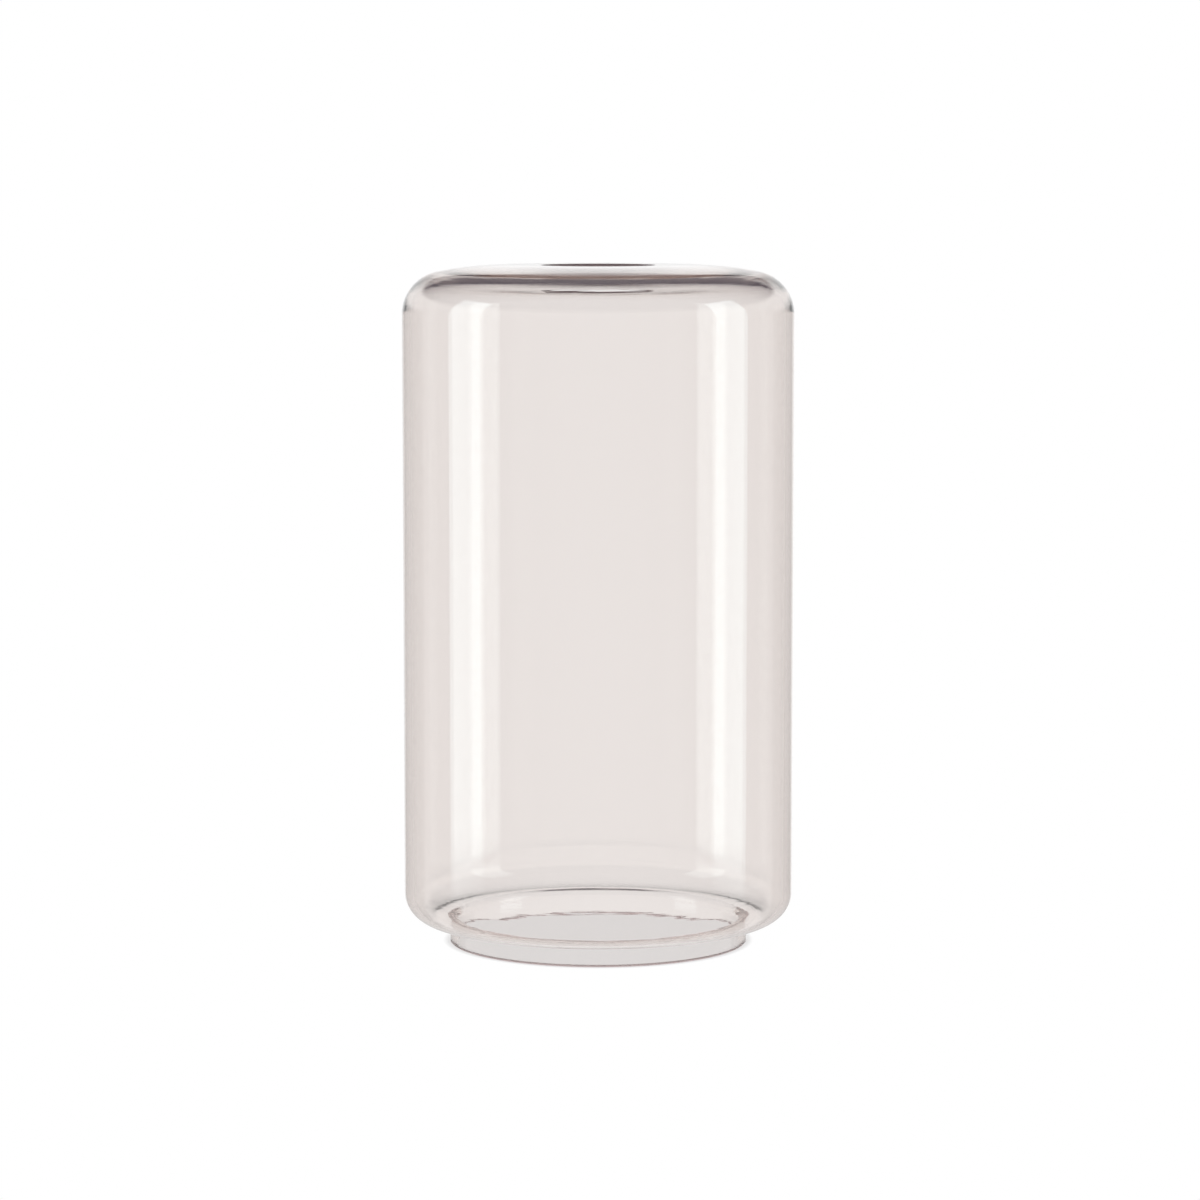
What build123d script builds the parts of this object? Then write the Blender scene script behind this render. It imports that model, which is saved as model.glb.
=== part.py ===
from build123d import *

import math
import os

# An open glass cylinder, blown in one piece: a round hole in its dished crown, a rounded
# shoulder, a straight side wall, a lower shoulder and a short open collar with a ground rim.
# Millimetres, +Z up. The origin is on the axis, in the plane that the ground rim stands on.

# Outside
body_diameter = 150.0
total_height = 261.0
shoulder_radius = 16.6
crown_slope = 11.0
seat_diameter = 73.0
collar_diameter = 115.2
collar_height = 8.3
collar_root_radius = 1.5
flange_width = 6.6

# Thickness of the glass: the side wall keeps more glass than the crown and the flange
side_thickness = 3.2
crown_thickness = 2.5
floor_thickness = 1.7
collar_thickness = 2.9

# Inside: the shoulder's bend is this much narrower and lower than the outer one
inner_shoulder_narrowing = 1.9
inner_shoulder_lowering = 4.6
inner_crown_slope = 9.9
inner_seat_diameter = 57.0
mouth_edge_radius = 3.0

# Hole and ground edges
hole_diameter = 43.0
hole_edge_chamfer = 0.4
rim_edge_chamfer = 0.5


def vessel_outline(
    radius, floor_z, floor_corner, crown_z, seat_radius, slope, shoulder_width, shoulder_height
):
    """Draws half of a round vessel's section, closed along the axis.

    The crown is flat out to seat_radius and then curves down to the slope, in degrees,
    at which the rounded shoulder takes over and turns into the side wall.
    """
    slope_angle = math.radians(slope)
    bend_angle = math.atan2(shoulder_height, shoulder_width * math.tan(slope_angle))
    bend_run = shoulder_width * math.cos(bend_angle)
    bend_rise = shoulder_height * math.sin(bend_angle)
    dish_end_radius = radius - shoulder_width + bend_run
    dish_radius = (dish_end_radius - seat_radius) / math.sin(slope_angle)
    floor = Line((0, floor_z), (radius - floor_corner, floor_z))
    lower_bend = JernArc(floor @ 1, floor % 1, floor_corner, 90)
    seat = Line((0, crown_z), (seat_radius, crown_z))
    dish = JernArc(seat @ 1, seat % 1, dish_radius, -slope)
    bend_centre = dish @ 1 - Vector(bend_run, bend_rise)
    upper_bend = EllipticalCenterArc(
        bend_centre, shoulder_width, shoulder_height, arc_size=math.degrees(bend_angle)
    )
    Line(lower_bend @ 1, upper_bend @ 0)
    Line(floor @ 0, seat @ 0)


def ring_edges(part, radius, height):
    """Finds the circular edges of a part that have this radius and lie at this height."""
    circles = part.edges().filter_by(GeomType.CIRCLE)
    same_radius = circles.filter_by(lambda edge: math.isclose(edge.radius, radius, abs_tol=1e-4))
    return same_radius.filter_by(lambda edge: math.isclose(edge.arc_center.Z, height, abs_tol=1e-4))


def glass_cylinder():
    """The whole object: one blown glass wall, open at the crown and at the collar."""
    collar_radius = collar_diameter / 2
    lower_shoulder_radius = body_diameter / 2 - collar_radius - flange_width
    inner_lower_radius = lower_shoulder_radius - floor_thickness
    inner_shoulder_width = shoulder_radius - inner_shoulder_narrowing
    inner_shoulder_height = shoulder_radius - inner_shoulder_lowering
    mouth_radius = collar_radius - collar_thickness
    inner_floor_z = collar_height + floor_thickness
    inner_crown_z = total_height - crown_thickness
    hole_radius = hole_diameter / 2

    with BuildPart() as glass_cylinder:
        with BuildSketch(Plane.XZ):
            with BuildLine():
                vessel_outline(
                    body_diameter / 2, collar_height, lower_shoulder_radius,
                    total_height, seat_diameter / 2, crown_slope, shoulder_radius, shoulder_radius,
                )
            make_face()
        revolve(axis=Axis.Z)
        Cylinder(collar_radius, collar_height, align=(Align.CENTER, Align.CENTER, Align.MIN))
        fillet(ring_edges(glass_cylinder, collar_radius, collar_height), collar_root_radius)

        with BuildSketch(Plane.XZ):
            with BuildLine():
                vessel_outline(
                    body_diameter / 2 - side_thickness, inner_floor_z, inner_lower_radius,
                    inner_crown_z, inner_seat_diameter / 2, inner_crown_slope,
                    inner_shoulder_width, inner_shoulder_height,
                )
            make_face()
        revolve(axis=Axis.Z, mode=Mode.SUBTRACT)
        with Locations((0, 0, inner_floor_z)):
            Hole(mouth_radius, depth=inner_floor_z)
        with Locations((0, 0, total_height)):
            Hole(hole_radius, depth=crown_thickness)

        fillet(ring_edges(glass_cylinder, mouth_radius, inner_floor_z), mouth_edge_radius)
        chamfer(glass_cylinder.edges().group_by(Axis.Z)[0], rim_edge_chamfer)
        chamfer(ring_edges(glass_cylinder, hole_radius, total_height), hole_edge_chamfer)
        chamfer(ring_edges(glass_cylinder, hole_radius, inner_crown_z), hole_edge_chamfer)

    glass_cylinder.part.label = "glass_cylinder"
    export_step(glass_cylinder.part, "parts/glass_cylinder.step")


os.makedirs("parts", exist_ok=True)
glass_cylinder()
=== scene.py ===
"""Looks for an open glass cylinder: one blown wall with a dished crown, a hole and a ground collar.

Everything is in metres, +Z up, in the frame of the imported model: the axis is X = Y = 0 and the
ground rim of the collar stands on Z = 0.
"""

import math

import bpy
from bpy.props import FloatProperty, FloatVectorProperty, IntProperty, PointerProperty
from bpy.types import Operator, Panel, PropertyGroup
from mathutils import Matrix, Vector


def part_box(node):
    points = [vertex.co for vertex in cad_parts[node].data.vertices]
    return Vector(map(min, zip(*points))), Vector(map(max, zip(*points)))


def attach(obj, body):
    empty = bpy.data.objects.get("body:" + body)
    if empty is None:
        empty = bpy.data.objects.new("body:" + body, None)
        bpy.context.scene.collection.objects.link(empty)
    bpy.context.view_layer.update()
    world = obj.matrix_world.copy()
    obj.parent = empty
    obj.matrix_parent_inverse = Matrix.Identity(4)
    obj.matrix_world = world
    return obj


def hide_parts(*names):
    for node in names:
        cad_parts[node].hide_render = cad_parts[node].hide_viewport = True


bl_info = {
    "name": "Open Glass Cylinder",
    "version": (1, 0, 0),
    "blender": (4, 5, 0),
    "location": "View3D > Sidebar > Glass Cylinder",
    "description": "Spins the blown glass cylinder, finishes its surfaces and sets up the studio",
    "category": "Object",
}

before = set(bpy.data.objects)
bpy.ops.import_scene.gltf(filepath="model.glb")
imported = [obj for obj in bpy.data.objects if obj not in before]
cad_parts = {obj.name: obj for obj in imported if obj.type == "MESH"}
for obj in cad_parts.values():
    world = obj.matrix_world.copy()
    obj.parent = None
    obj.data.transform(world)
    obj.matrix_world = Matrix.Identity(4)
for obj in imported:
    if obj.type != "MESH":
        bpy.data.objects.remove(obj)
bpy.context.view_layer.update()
GLASS_NODE = "glass_cylinder"
GLASS_LOW, GLASS_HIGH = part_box(GLASS_NODE)
BODY_RADIUS = (GLASS_HIGH[0] - GLASS_LOW[0]) / 2
TOTAL_HEIGHT = GLASS_HIGH[2]

SEED_SIZE = 0.001  # plane that shrinks to the section's first vertex
WELD_DISTANCE = 0.00001
SHARP_ANGLE = math.radians(40)
EDGE_MARGIN = 1.1  # how far past its own width a ground edge keeps its finish
TABLE_SIDES = 96
SENSOR_WIDTH = 36.0
LIGHT_BOUNCES = 32
PLAIN_WHITE = (1.0, 1.0, 1.0)


def length_prop(name, description, default):
    """A length in metres that can't be negative."""
    return FloatProperty(
        name=name, description=description, default=default, min=0.0,
        subtype="DISTANCE", unit="LENGTH"
    )


def angle_prop(name, description, degrees):
    """An angle, given in degrees."""
    return FloatProperty(
        name=name, description=description, default=math.radians(degrees),
        subtype="ANGLE", unit="ROTATION"
    )


def share_prop(name, description, default):
    """A number from 0 to 1."""
    return FloatProperty(name=name, description=description, default=default, min=0.0, max=1.0)


def number_prop(name, description, default, least=0.0):
    """A plain number with a lower limit."""
    return FloatProperty(name=name, description=description, default=default, min=least)


def color_prop(name, description, default):
    """A linear RGB colour."""
    return FloatVectorProperty(
        name=name, description=description, default=default, min=0.0, max=1.0,
        size=3, subtype="COLOR"
    )


def count_prop(name, description, default, least, most):
    """A whole number with limits."""
    return IntProperty(name=name, description=description, default=default, min=least, max=most)


class BlownShape(PropertyGroup):
    """The half section of the glass, outside and inside."""

    body_radius: length_prop("Body radius", "Outside of the side wall", BODY_RADIUS)
    total_height: length_prop("Total height", "From the ground rim to the crown", TOTAL_HEIGHT)
    shoulder_radius: length_prop("Shoulder radius", "Outer bend of crown and side", 0.0166)
    seat_radius: length_prop("Seat radius", "Flat ring of the crown round the hole", 0.0365)
    crown_slope: angle_prop("Crown slope", "Fall of the dished crown at its shoulder", 11.0)
    collar_radius: length_prop("Collar radius", "Outside of the collar", 0.0576)
    collar_height: length_prop("Collar height", "From the ground rim to the flange", 0.0083)
    collar_root_radius: length_prop("Collar root", "Hollow bend between collar and flange", 0.0015)
    flange_width: length_prop("Flange width", "Flat ring between collar and lower bend", 0.0066)
    side_thickness: length_prop("Side thickness", "Glass of the side wall", 0.0032)
    crown_thickness: length_prop("Crown thickness", "Glass of the crown", 0.0025)
    floor_thickness: length_prop("Floor thickness", "Glass of the flange", 0.0017)
    collar_thickness: length_prop("Collar thickness", "Glass of the collar", 0.0029)
    inner_shoulder_radius: length_prop("Inner shoulder", "Inner bend of crown and side", 0.0147)
    inner_shoulder_height: length_prop("Inner shoulder height", "Height of that bend", 0.012)
    inner_seat_radius: length_prop("Inner seat", "Flat ring under the crown", 0.0285)
    inner_crown_slope: angle_prop("Inner crown slope", "Fall of the crown's underside", 9.9)
    inner_lower_radius: length_prop("Inner lower bend", "Inner bend of side and flange", 0.0091)
    mouth_edge_radius: length_prop("Mouth edge", "Rounded edge of the flange inside", 0.003)
    hole_radius: length_prop("Hole radius", "Round hole in the crown", 0.0215)
    hole_edge: length_prop("Hole edge", "Ground break of the hole's edges", 0.0004)
    rim_edge: length_prop("Rim edge", "Ground break of the rim's edges", 0.0005)
    bend_steps: count_prop("Bend steps", "Spans in each large bend", 20, 4, 64)
    root_steps: count_prop("Root steps", "Spans in each small bend by the collar", 6, 2, 32)
    turn_steps: count_prop("Turn steps", "Spans round the axis", 256, 32, 512)


class GlassFinish(PropertyGroup):
    """The colour and surface of the glass."""

    tint: color_prop("Tint", "Colour that long paths through the glass take", (0.918, 0.892, 0.879))
    tint_density: number_prop("Tint density", "How soon the tint shows, per metre", 390.0)
    ior: number_prop("Refraction", "Index of soda glass", 1.5, least=1.0)
    ground_roughness: share_prop("Ground roughness", "Roughness of cut and ground edges", 0.45)
    ground_color: color_prop("Ground colour", "Tint of the cut and ground edges", (0.9, 0.70, 0.70))
    ground_frost: share_prop("Ground frost", "Share of light that ground edges scatter", 0.35)

    wave_length: length_prop("Wave length", "Slow waves of the blown side wall", 0.03)
    wave_stretch: number_prop("Wave stretch", "How much longer they run upwards", 5.0, least=1.0)
    wave_detail: number_prop("Wave detail", "Layers of finer waves", 1.0)
    wave_depth: length_prop("Wave depth", "Height of the slow waves", 0.00006)
    ring_spacing: length_prop("Ring spacing", "Fine rings round the crown and the flange", 0.0012)
    ring_stretch: number_prop("Ring stretch", "How far a ring keeps its shape", 25.0, least=1.0)
    ring_detail: number_prop("Ring detail", "Layers of finer rings", 2.0)
    ring_depth: length_prop("Ring depth", "Height of the fine rings", 0.000015)
    ring_reach: length_prop("Ring reach", "Where the rings fade into the side wall", 0.012)
    grit_size: length_prop("Grit size", "Grain and depth of the ground edges", 0.0003)
    grit_detail: number_prop("Grit detail", "Layers of finer grain", 2.0)


class StudioSetup(PropertyGroup):
    """The floor, lamps, backdrop and camera."""

    floor_radius: length_prop("Floor radius", "Round white table", 0.07)
    floor_glow: share_prop("Floor glow", "Share of plain white under the glass", 0.73)
    # Painted shade: under the glass the table's colour is darker and pinkish, standing for the
    # shade that the tinted glass casts.
    floor_painted_shade: color_prop("Floor colour", "Under the glass", (0.80, 0.67, 0.66))
    floor_fade_start: length_prop("Floor fade start", "Where the table begins to whiten", 0.0575)
    floor_fade_end: length_prop("Floor fade end", "Where the table is plain white", 0.0605)
    softbox_distance: length_prop("Softbox distance", "From the axis, left and right", 0.7)
    softbox_width: length_prop("Softbox width", "Along the line of sight", 0.304)
    softbox_top: length_prop("Softbox top", "Upper end above the table", 0.68)
    softbox_below: length_prop("Softbox below", "Lower end below the table's level", 0.122)
    softbox_fade: length_prop("Softbox fade", "Dimmer stretch at the lower end", 0.057)
    softbox_forward: length_prop("Softbox forward", "Towards the camera from the axis", 0.119)
    softbox_radiance: number_prop("Softbox radiance", "Brightness against a white card", 2.0)
    softbox_color: color_prop("Softbox colour", "A little cool", (0.8, 0.98, 1.0))
    backdrop_color: color_prop("Backdrop colour", "What the glass sees low all round", PLAIN_WHITE)
    ceiling_color: color_prop("Ceiling colour", "What the glass sees overhead", (0.15, 0.135, 0.16))
    backdrop_top: angle_prop("Backdrop top", "Height angle where the backdrop begins to dim", 17)
    ceiling_start: angle_prop("Ceiling start", "Height angle where the dim ceiling begins", 22)
    flag_share: share_prop("Flag share", "How much the dark flags take", 0.45)
    flag_start: angle_prop("Flag start", "Where a flag begins, from straight behind the glass", 16)
    flag_end: angle_prop("Flag end", "Where a flag ends, from straight behind the glass", 58)
    flag_top: angle_prop("Flag top", "Height angle where the flags end", 2)
    flag_blur: angle_prop("Flag blur", "Soft edge of a flag", 5)
    camera_distance: length_prop("Camera distance", "From the axis, level", 1.5808)
    camera_height: length_prop("Camera height", "Above the table", 0.2993)
    camera_pitch: angle_prop("Camera pitch", "Downwards", 6.029)
    camera_side: length_prop("Camera side", "Small step to the right of the axis", 0.0007)
    camera_lens: number_prop("Lens", "Focal length in millimetres", 123.8, least=10.0)


def arc(centre, radius, start, end, steps):
    """Points of an arc in the section plane, from one angle to another, in degrees from +X."""
    points = []
    for step in range(steps + 1):
        angle = math.radians(start + (end - start) * step / steps)
        points.append((centre[0] + radius * math.cos(angle), centre[1] + radius * math.sin(angle)))
    return points


def crown_outline(radius, crown_z, seat_radius, slope, shoulder, shoulder_height, steps):
    """From the edge of the flat seat over the dished crown and the shoulder to the side wall."""
    bend_start = math.atan2(shoulder_height, shoulder * math.tan(slope))
    dish_end = radius - shoulder * (1 - math.cos(bend_start))
    dish_radius = (dish_end - seat_radius) / math.sin(slope)
    dish_centre = (seat_radius, crown_z - dish_radius)
    dish = arc(dish_centre, dish_radius, 90, 90 - math.degrees(slope), steps)
    centre_z = dish[-1][1] - shoulder_height * math.sin(bend_start)
    bend = []
    for step in range(1, steps + 1):
        angle = bend_start * (1 - step / steps)
        out = radius - shoulder * (1 - math.cos(angle))
        bend.append((out, centre_z + shoulder_height * math.sin(angle)))
    return dish + bend


def outer_outline(shape):
    """The outside, from the hole's upper edge down to the rim."""
    steps = shape.bend_steps
    hole_top = (shape.hole_radius + shape.hole_edge, shape.total_height)
    crown = crown_outline(
        shape.body_radius, shape.total_height, shape.seat_radius, shape.crown_slope,
        shape.shoulder_radius, shape.shoulder_radius, steps
    )
    lower_bend = shape.body_radius - shape.collar_radius - shape.flange_width
    lower_centre = (shape.body_radius - lower_bend, shape.collar_height + lower_bend)
    lower = arc(lower_centre, lower_bend, 0, -90, steps)
    root = shape.collar_root_radius
    root_centre = (shape.collar_radius + root, shape.collar_height - root)
    collar = arc(root_centre, root, 90, 180, shape.root_steps)
    rim = [(shape.collar_radius, shape.rim_edge), (shape.collar_radius - shape.rim_edge, 0.0)]
    return [hole_top] + crown + lower + collar + rim


def inner_outline(shape):
    """The inside, from the rim back up to the hole's lower edge."""
    steps = shape.bend_steps
    wall = shape.body_radius - shape.side_thickness
    mouth = shape.collar_radius - shape.collar_thickness
    floor_z = shape.collar_height + shape.floor_thickness
    crown_z = shape.total_height - shape.crown_thickness
    edge = shape.mouth_edge_radius
    rim = [(mouth + shape.rim_edge, 0.0), (mouth, shape.rim_edge)]
    mouth_edge = arc((mouth + edge, floor_z - edge), edge, 180, 90, shape.root_steps)
    bend = shape.inner_lower_radius
    lower = arc((wall - bend, floor_z + bend), bend, -90, 0, steps)
    crown = crown_outline(
        wall, crown_z, shape.inner_seat_radius, shape.inner_crown_slope,
        shape.inner_shoulder_radius, shape.inner_shoulder_height, steps
    )
    hole = [
        (shape.hole_radius + shape.hole_edge, crown_z),
        (shape.hole_radius, crown_z + shape.hole_edge),
        (shape.hole_radius, shape.total_height - shape.hole_edge),
    ]
    return rim + mouth_edge + lower + crown[::-1] + hole


def draw_section(name, outline):
    """Draws a closed half section in the XZ plane, extruding one vertex from point to point."""
    first = outline[0]
    bpy.ops.mesh.primitive_plane_add(size=SEED_SIZE, location=(0, 0, 0))
    section = bpy.context.object
    section.name = section.data.name = name
    bpy.ops.object.mode_set(mode="EDIT")
    bpy.ops.mesh.select_all(action="SELECT")
    bpy.ops.mesh.merge(type="CENTER")
    bpy.ops.transform.translate(value=(first[0], 0, first[1]))
    for here, there in zip(outline, outline[1:]):
        step = (there[0] - here[0], 0, there[1] - here[1])
        bpy.ops.mesh.extrude_vertices_move(TRANSFORM_OT_translate={"value": step})
    bpy.ops.object.mode_set(mode="OBJECT")
    last = len(section.data.vertices) - 1
    for vertex in section.data.vertices:
        vertex.select = vertex.index in (0, last)
    bpy.ops.object.mode_set(mode="EDIT")
    bpy.ops.mesh.edge_face_add()
    return section


def spin_section(section, steps):
    """Spins the section once round the axis and closes the seam."""
    bpy.ops.mesh.select_all(action="SELECT")
    bpy.ops.mesh.spin(steps=steps, angle=math.tau, center=(0, 0, 0), axis=(0, 0, 1))
    bpy.ops.mesh.select_all(action="SELECT")
    bpy.ops.mesh.remove_doubles(threshold=WELD_DISTANCE)
    bpy.ops.mesh.normals_make_consistent(inside=False)
    bpy.ops.object.mode_set(mode="OBJECT")
    bpy.ops.object.shade_smooth_by_angle(angle=SHARP_ANGLE)


def math_node(nodes, links, operation, first, second):
    """One step of arithmetic; each input is a socket or a number."""
    node = nodes.new("ShaderNodeMath")
    node.operation = operation
    for socket, value in zip(node.inputs, (first, second)):
        if isinstance(value, (int, float)):
            socket.default_value = value
        else:
            links.new(value, socket)
    return node.outputs["Value"]


def ramp_node(nodes, links, value, start, end, least=0.0):
    """A smooth step from the least value at the start to 1 at the end."""
    node = nodes.new("ShaderNodeMapRange")
    node.interpolation_type = "SMOOTHSTEP"
    node.inputs["From Min"].default_value = start
    node.inputs["From Max"].default_value = end
    node.inputs["To Min"].default_value = least
    links.new(value, node.inputs["Value"])
    return node.outputs["Result"]


def mix_node(nodes, links, factor, first, second):
    """Mixes two colours by a factor; each colour is a socket or three numbers."""
    node = nodes.new("ShaderNodeMix")
    node.data_type = "RGBA"
    links.new(factor, node.inputs["Factor"])
    colors = [socket for socket in node.inputs if socket.type == "RGBA"]
    for socket, value in zip(colors, (first, second)):
        if isinstance(value, bpy.types.NodeSocket):
            links.new(value, socket)
        else:
            socket.default_value = (*value, 1)
    return next(socket for socket in node.outputs if socket.type == "RGBA")


def noise_node(nodes, links, vector, detail):
    """Noise that runs from about -0.5 to 0.5."""
    node = nodes.new("ShaderNodeTexNoise")
    node.inputs["Scale"].default_value = 1.0
    node.inputs["Detail"].default_value = detail
    links.new(vector, node.inputs["Vector"])
    return math_node(nodes, links, "SUBTRACT", node.outputs["Fac"], 0.5)


def bump_node(nodes, links, height, depth, before=None):
    """Raises the surface by the height times the depth, on top of an earlier bump."""
    node = nodes.new("ShaderNodeBump")
    node.inputs["Distance"].default_value = depth
    links.new(height, node.inputs["Height"])
    if before:
        links.new(before, node.inputs["Normal"])
    return node.outputs["Normal"]


def stretched(nodes, links, vector, scale):
    """The position with a scale of its own along each axis."""
    node = nodes.new("ShaderNodeVectorMath")
    node.operation = "MULTIPLY"
    node.inputs[1].default_value = scale
    links.new(vector, node.inputs[0])
    return node.outputs["Vector"]


def length_node(nodes, links, vector):
    """The length of a vector."""
    node = nodes.new("ShaderNodeVectorMath")
    node.operation = "LENGTH"
    links.new(vector, node.inputs[0])
    return node.outputs["Value"]


def axes_node(nodes, links, vector):
    """The three parts of a vector, as the outputs X, Y and Z."""
    node = nodes.new("ShaderNodeSeparateXYZ")
    links.new(vector, node.inputs[0])
    return node.outputs


def ground_edges(nodes, links, shape, height, radius):
    """1 on the ground rim and on the hole's cut wall, 0 elsewhere."""
    at_rim = math_node(nodes, links, "LESS_THAN", height, shape.rim_edge * EDGE_MARGIN)
    hole_reach = shape.hole_radius + shape.hole_edge * EDGE_MARGIN
    at_hole = math_node(nodes, links, "LESS_THAN", radius, hole_reach)
    return math_node(nodes, links, "MAXIMUM", at_rim, at_hole)


def blown_waves(nodes, links, finish, place):
    """Slow waves that run up the side wall."""
    wave = 1 / finish.wave_length
    scale = (wave, wave, wave / finish.wave_stretch)
    return noise_node(nodes, links, stretched(nodes, links, place, scale), finish.wave_detail)


def mould_rings(nodes, links, shape, finish, place, height, radius):
    """Fine rings round the crown and the flange, fading into the side wall."""
    ring = 1 / finish.ring_spacing
    drift = ring / finish.ring_stretch
    across = nodes.new("ShaderNodeCombineXYZ")
    links.new(math_node(nodes, links, "MULTIPLY", radius, ring), across.inputs["X"])
    ring_place = nodes.new("ShaderNodeVectorMath")
    ring_place.operation = "ADD"
    links.new(stretched(nodes, links, place, (drift, drift, ring)), ring_place.inputs[0])
    links.new(across.outputs["Vector"], ring_place.inputs[1])
    rings = noise_node(nodes, links, ring_place.outputs["Vector"], finish.ring_detail)
    crown_start = shape.total_height - shape.shoulder_radius
    near_crown = ramp_node(nodes, links, height, crown_start - finish.ring_reach, crown_start)
    flange_end = shape.collar_height + shape.body_radius - shape.collar_radius - shape.flange_width
    near_flange = ramp_node(nodes, links, height, flange_end + finish.ring_reach, flange_end)
    near_end = math_node(nodes, links, "MAXIMUM", near_crown, near_flange)
    return math_node(nodes, links, "MULTIPLY", rings, near_end)


def ground_grit(nodes, links, finish, place, ground):
    """Grain that lies on the ground edges alone."""
    grit = 1 / finish.grit_size
    grits = noise_node(
        nodes, links, stretched(nodes, links, place, (grit, grit, grit)), finish.grit_detail
    )
    return math_node(nodes, links, "MULTIPLY", grits, ground)


def glass_material(shape, finish):
    """Clear glass with a faint warm tint: wavy side, rings round both ends, ground cut edges."""
    material = bpy.data.materials.new("blown_clear_glass")
    material.use_nodes = True
    nodes = material.node_tree.nodes
    links = material.node_tree.links
    shader = nodes["Principled BSDF"]
    shader.inputs["IOR"].default_value = finish.ior

    place = nodes.new("ShaderNodeTexCoord").outputs["Object"]
    height = axes_node(nodes, links, place)["Z"]
    radius = length_node(nodes, links, stretched(nodes, links, place, (1, 1, 0)))

    ground = ground_edges(nodes, links, shape, height, radius)
    roughness = math_node(nodes, links, "MULTIPLY", ground, finish.ground_roughness)
    links.new(roughness, shader.inputs["Roughness"])
    glass_color = mix_node(nodes, links, ground, PLAIN_WHITE, finish.ground_color)
    links.new(glass_color, shader.inputs["Base Color"])
    frost = math_node(nodes, links, "MULTIPLY", ground, finish.ground_frost)
    clear = math_node(nodes, links, "SUBTRACT", 1.0, frost)
    links.new(clear, shader.inputs["Transmission Weight"])

    waves = blown_waves(nodes, links, finish, place)
    rings = mould_rings(nodes, links, shape, finish, place, height, radius)
    grits = ground_grit(nodes, links, finish, place, ground)
    normal = bump_node(nodes, links, waves, finish.wave_depth)
    normal = bump_node(nodes, links, rings, finish.ring_depth, normal)
    normal = bump_node(nodes, links, grits, finish.grit_size, normal)
    links.new(normal, shader.inputs["Normal"])

    absorption = nodes.new("ShaderNodeVolumeAbsorption")
    absorption.inputs["Color"].default_value = (*finish.tint, 1)
    absorption.inputs["Density"].default_value = finish.tint_density
    links.new(absorption.outputs["Volume"], nodes["Material Output"].inputs["Volume"])
    return material


class GLASSCYL_OT_blow_glass(Operator):
    """Spins the glass from its half section and gives it its finish"""

    bl_idname = "glasscyl.blow_glass"
    bl_label = "Blow Glass"

    def execute(self, context):
        shape = context.scene.glasscyl_shape
        bpy.ops.object.select_all(action="DESELECT")
        section = draw_section("blown_glass", outer_outline(shape) + inner_outline(shape))
        spin_section(section, shape.turn_steps)
        section.data.materials.append(glass_material(shape, context.scene.glasscyl_finish))
        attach(section, "root")
        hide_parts(GLASS_NODE)
        return {"FINISHED"}


def white_table(setup):
    """A round white table that blends into the white backdrop at its edge. Under the glass it is
    painted a darker pinkish shade, mixed with plain glow, over a faint real shadow.
    """
    bpy.ops.mesh.primitive_circle_add(
        vertices=TABLE_SIDES, radius=setup.floor_radius, fill_type="NGON", location=(0, 0, 0)
    )
    table = bpy.context.object
    table.name = table.data.name = "white_table"
    material = bpy.data.materials.new("white_table")
    material.use_nodes = True
    nodes = material.node_tree.nodes
    links = material.node_tree.links
    nodes.clear()
    output = nodes.new("ShaderNodeOutputMaterial")
    diffuse = nodes.new("ShaderNodeBsdfDiffuse")
    # Painted shade: the darker pinkish colour under the glass stands for the glass's tinted shade;
    # the diffuse part still takes the real shadow.
    diffuse.inputs["Color"].default_value = (*setup.floor_painted_shade, 1)
    glow = nodes.new("ShaderNodeEmission")
    distance = length_node(nodes, links, nodes.new("ShaderNodeTexCoord").outputs["Object"])
    # Under the glass the glow share drops to Floor glow, so the painted shade and a faint real
    # shadow show there; past the fade end the table is plain white.
    fade = ramp_node(
        nodes, links, distance, setup.floor_fade_start, setup.floor_fade_end, setup.floor_glow
    )
    mix = nodes.new("ShaderNodeMixShader")
    links.new(fade, mix.inputs["Fac"])
    links.new(diffuse.outputs["BSDF"], mix.inputs[1])
    links.new(glow.outputs["Emission"], mix.inputs[2])
    links.new(mix.outputs["Shader"], output.inputs["Surface"])
    table.data.materials.append(material)
    table.visible_glossy = False


def softbox(name, side, setup):
    """A tall cool lamp beside the glass that fades low down and shows only in mirrored light."""
    bottom = -setup.softbox_below
    middle = (bottom + setup.softbox_top) / 2
    place = (side * setup.softbox_distance, -setup.softbox_forward, middle)
    bpy.ops.object.light_add(type="AREA", location=place)
    lamp = bpy.context.object
    lamp.name = lamp.data.name = name
    lamp.rotation_euler = (0, -math.pi / 2, 0 if side < 0 else math.pi)
    lamp.data.shape = "RECTANGLE"
    lamp.data.size = setup.softbox_top - bottom
    lamp.data.size_y = setup.softbox_width
    lamp.data.energy = setup.softbox_radiance * math.pi * lamp.data.size * lamp.data.size_y
    lamp.data.color = setup.softbox_color
    lamp.visible_camera = False
    lamp.data.use_nodes = True
    nodes = lamp.data.node_tree.nodes
    links = lamp.data.node_tree.links
    along = axes_node(nodes, links, nodes.new("ShaderNodeNewGeometry").outputs["Parametric"])["X"]
    fade = ramp_node(nodes, links, along, 0.0, setup.softbox_fade / lamp.data.size)
    mirrors = nodes.new("ShaderNodeLightPath").outputs["Glossy Depth"]
    mirrored = math_node(nodes, links, "GREATER_THAN", mirrors, 0)
    strength = math_node(nodes, links, "MULTIPLY", fade, mirrored)
    links.new(strength, nodes["Emission"].inputs["Strength"])


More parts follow.
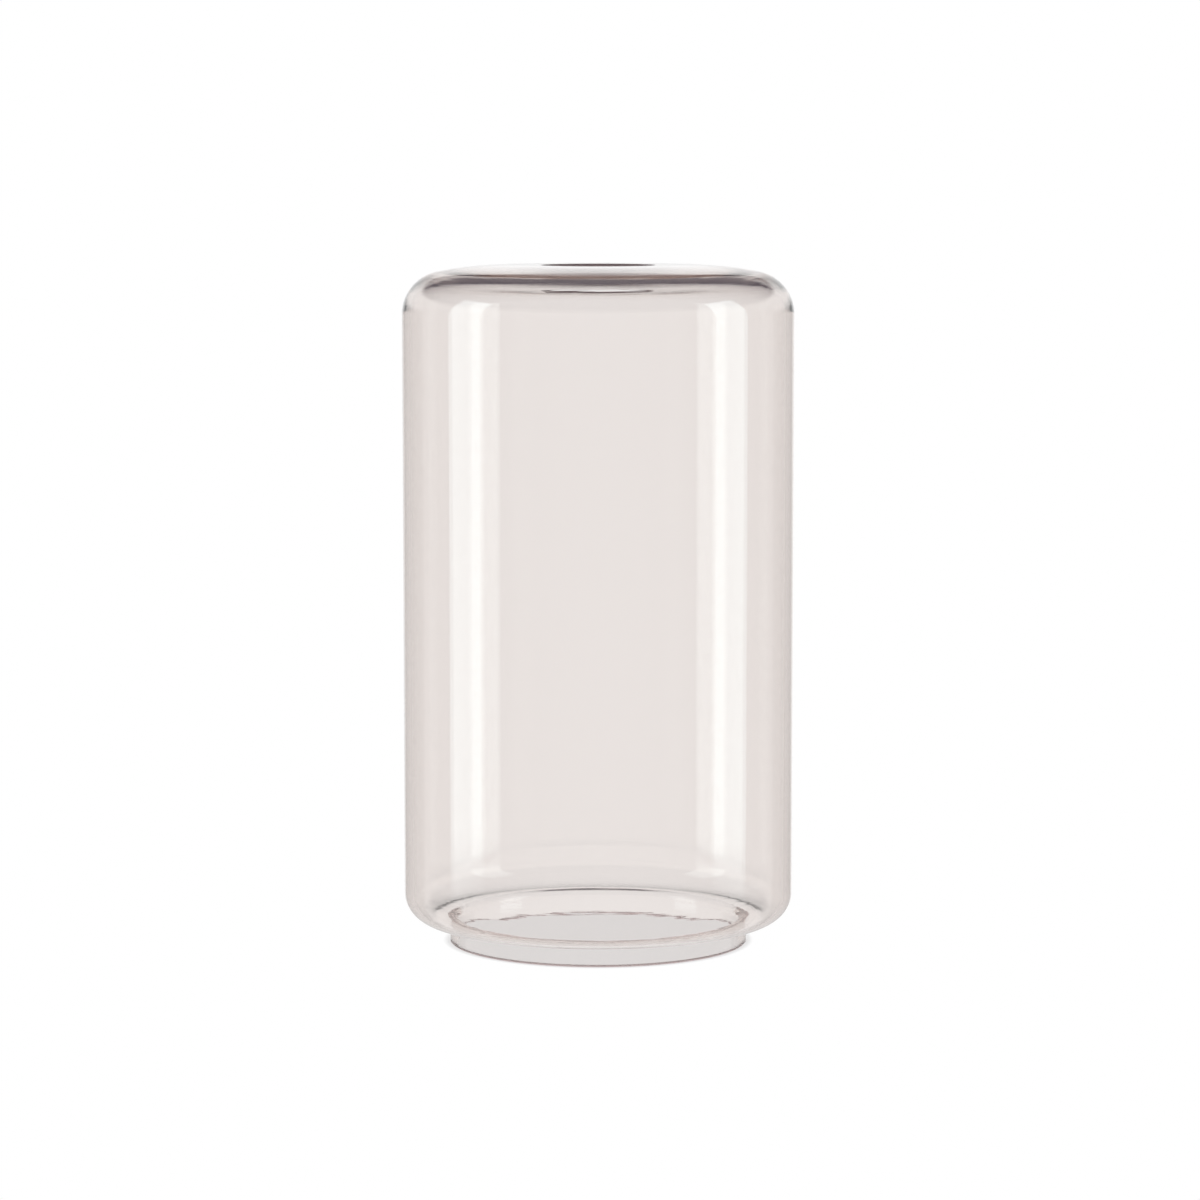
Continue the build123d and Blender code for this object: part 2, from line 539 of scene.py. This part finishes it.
def flag_dimming(nodes, links, setup, axes, path):
    """How much the dark flags beside the backdrop take from light mirrored off the glass."""
    near_edge = (math.cos(setup.flag_start), math.cos(setup.flag_start + setup.flag_blur))
    far_edge = (math.cos(setup.flag_end), math.cos(setup.flag_end - setup.flag_blur))
    top_edge = (math.sin(setup.flag_top + setup.flag_blur), math.sin(setup.flag_top))
    mirrored = math_node(nodes, links, "SUBTRACT", 1.0, path["Is Transmission Ray"])
    dimming = math_node(nodes, links, "MULTIPLY", mirrored, setup.flag_share)
    for axis, edge in (("Y", near_edge), ("Y", far_edge), ("Z", top_edge)):
        within = ramp_node(nodes, links, axes[axis], *edge)
        dimming = math_node(nodes, links, "MULTIPLY", dimming, within)
    return dimming


def studio_world(setup):
    """A lit backdrop with two dark flags under a dim ceiling, and plain white for the camera."""
    world = bpy.data.worlds.new("studio")
    bpy.context.scene.world = world
    world.use_nodes = True
    nodes = world.node_tree.nodes
    links = world.node_tree.links
    axes = axes_node(nodes, links, nodes.new("ShaderNodeTexCoord").outputs["Generated"])
    path = nodes.new("ShaderNodeLightPath").outputs

    ceiling_edge = (math.sin(setup.backdrop_top), math.sin(setup.ceiling_start))
    overhead = ramp_node(nodes, links, axes["Z"], *ceiling_edge)
    studio = mix_node(nodes, links, overhead, setup.backdrop_color, setup.ceiling_color)
    seen = mix_node(nodes, links, path["Is Camera Ray"], studio, PLAIN_WHITE)
    links.new(seen, nodes["Background"].inputs["Color"])

    dimming = flag_dimming(nodes, links, setup, axes, path)
    unseen = math_node(nodes, links, "SUBTRACT", 1.0, path["Is Camera Ray"])
    dimming = math_node(nodes, links, "MULTIPLY", dimming, unseen)
    strength = math_node(nodes, links, "SUBTRACT", 1.0, dimming)
    links.new(strength, nodes["Background"].inputs["Strength"])


def studio_camera(setup):
    """A long lens a little above the crown, looking slightly down."""
    place = (setup.camera_side, -setup.camera_distance, setup.camera_height)
    bpy.ops.object.camera_add(location=place, rotation=(math.pi / 2 - setup.camera_pitch, 0, 0))
    camera = bpy.context.object
    camera.name = "studio_camera"
    camera.data.lens = setup.camera_lens
    camera.data.sensor_width = SENSOR_WIDTH
    bpy.context.scene.camera = camera


def light_paths(scene):
    """Lets light turn often enough to leave the thick crown and the flange."""
    scene.cycles.max_bounces = LIGHT_BOUNCES
    scene.cycles.glossy_bounces = LIGHT_BOUNCES
    scene.cycles.transmission_bounces = LIGHT_BOUNCES


class GLASSCYL_OT_set_stage(Operator):
    """Sets up the white table, the two softboxes, the backdrop and the camera"""

    bl_idname = "glasscyl.set_stage"
    bl_label = "Set Stage"

    def execute(self, context):
        setup = context.scene.glasscyl_studio
        bpy.ops.object.select_all(action="DESELECT")
        white_table(setup)
        softbox("softbox_left", -1, setup)
        softbox("softbox_right", 1, setup)
        studio_world(setup)
        studio_camera(setup)
        light_paths(context.scene)
        context.scene.view_settings.view_transform = "Standard"
        return {"FINISHED"}


class GLASSCYL_PT_sidebar(Panel):
    """Sizes, finish and steps of the glass cylinder"""

    bl_idname = "GLASSCYL_PT_sidebar"
    bl_label = "Glass Cylinder"
    bl_space_type = "VIEW_3D"
    bl_region_type = "UI"
    bl_category = "Glass Cylinder"

    def draw(self, context):
        for operator in (GLASSCYL_OT_blow_glass, GLASSCYL_OT_set_stage):
            self.layout.operator(operator.bl_idname)


CLASSES = (
    BlownShape,
    GlassFinish,
    StudioSetup,
    GLASSCYL_OT_blow_glass,
    GLASSCYL_OT_set_stage,
    GLASSCYL_PT_sidebar,
)


def register():
    for cls in CLASSES:
        bpy.utils.register_class(cls)
    bpy.types.Scene.glasscyl_shape = PointerProperty(type=BlownShape)
    bpy.types.Scene.glasscyl_finish = PointerProperty(type=GlassFinish)
    bpy.types.Scene.glasscyl_studio = PointerProperty(type=StudioSetup)


def unregister():
    del bpy.types.Scene.glasscyl_studio
    del bpy.types.Scene.glasscyl_finish
    del bpy.types.Scene.glasscyl_shape
    for cls in reversed(CLASSES):
        bpy.utils.unregister_class(cls)


def main():
    register()
    bpy.ops.glasscyl.blow_glass()
    bpy.ops.glasscyl.set_stage()


if __name__ == "__main__":
    main()
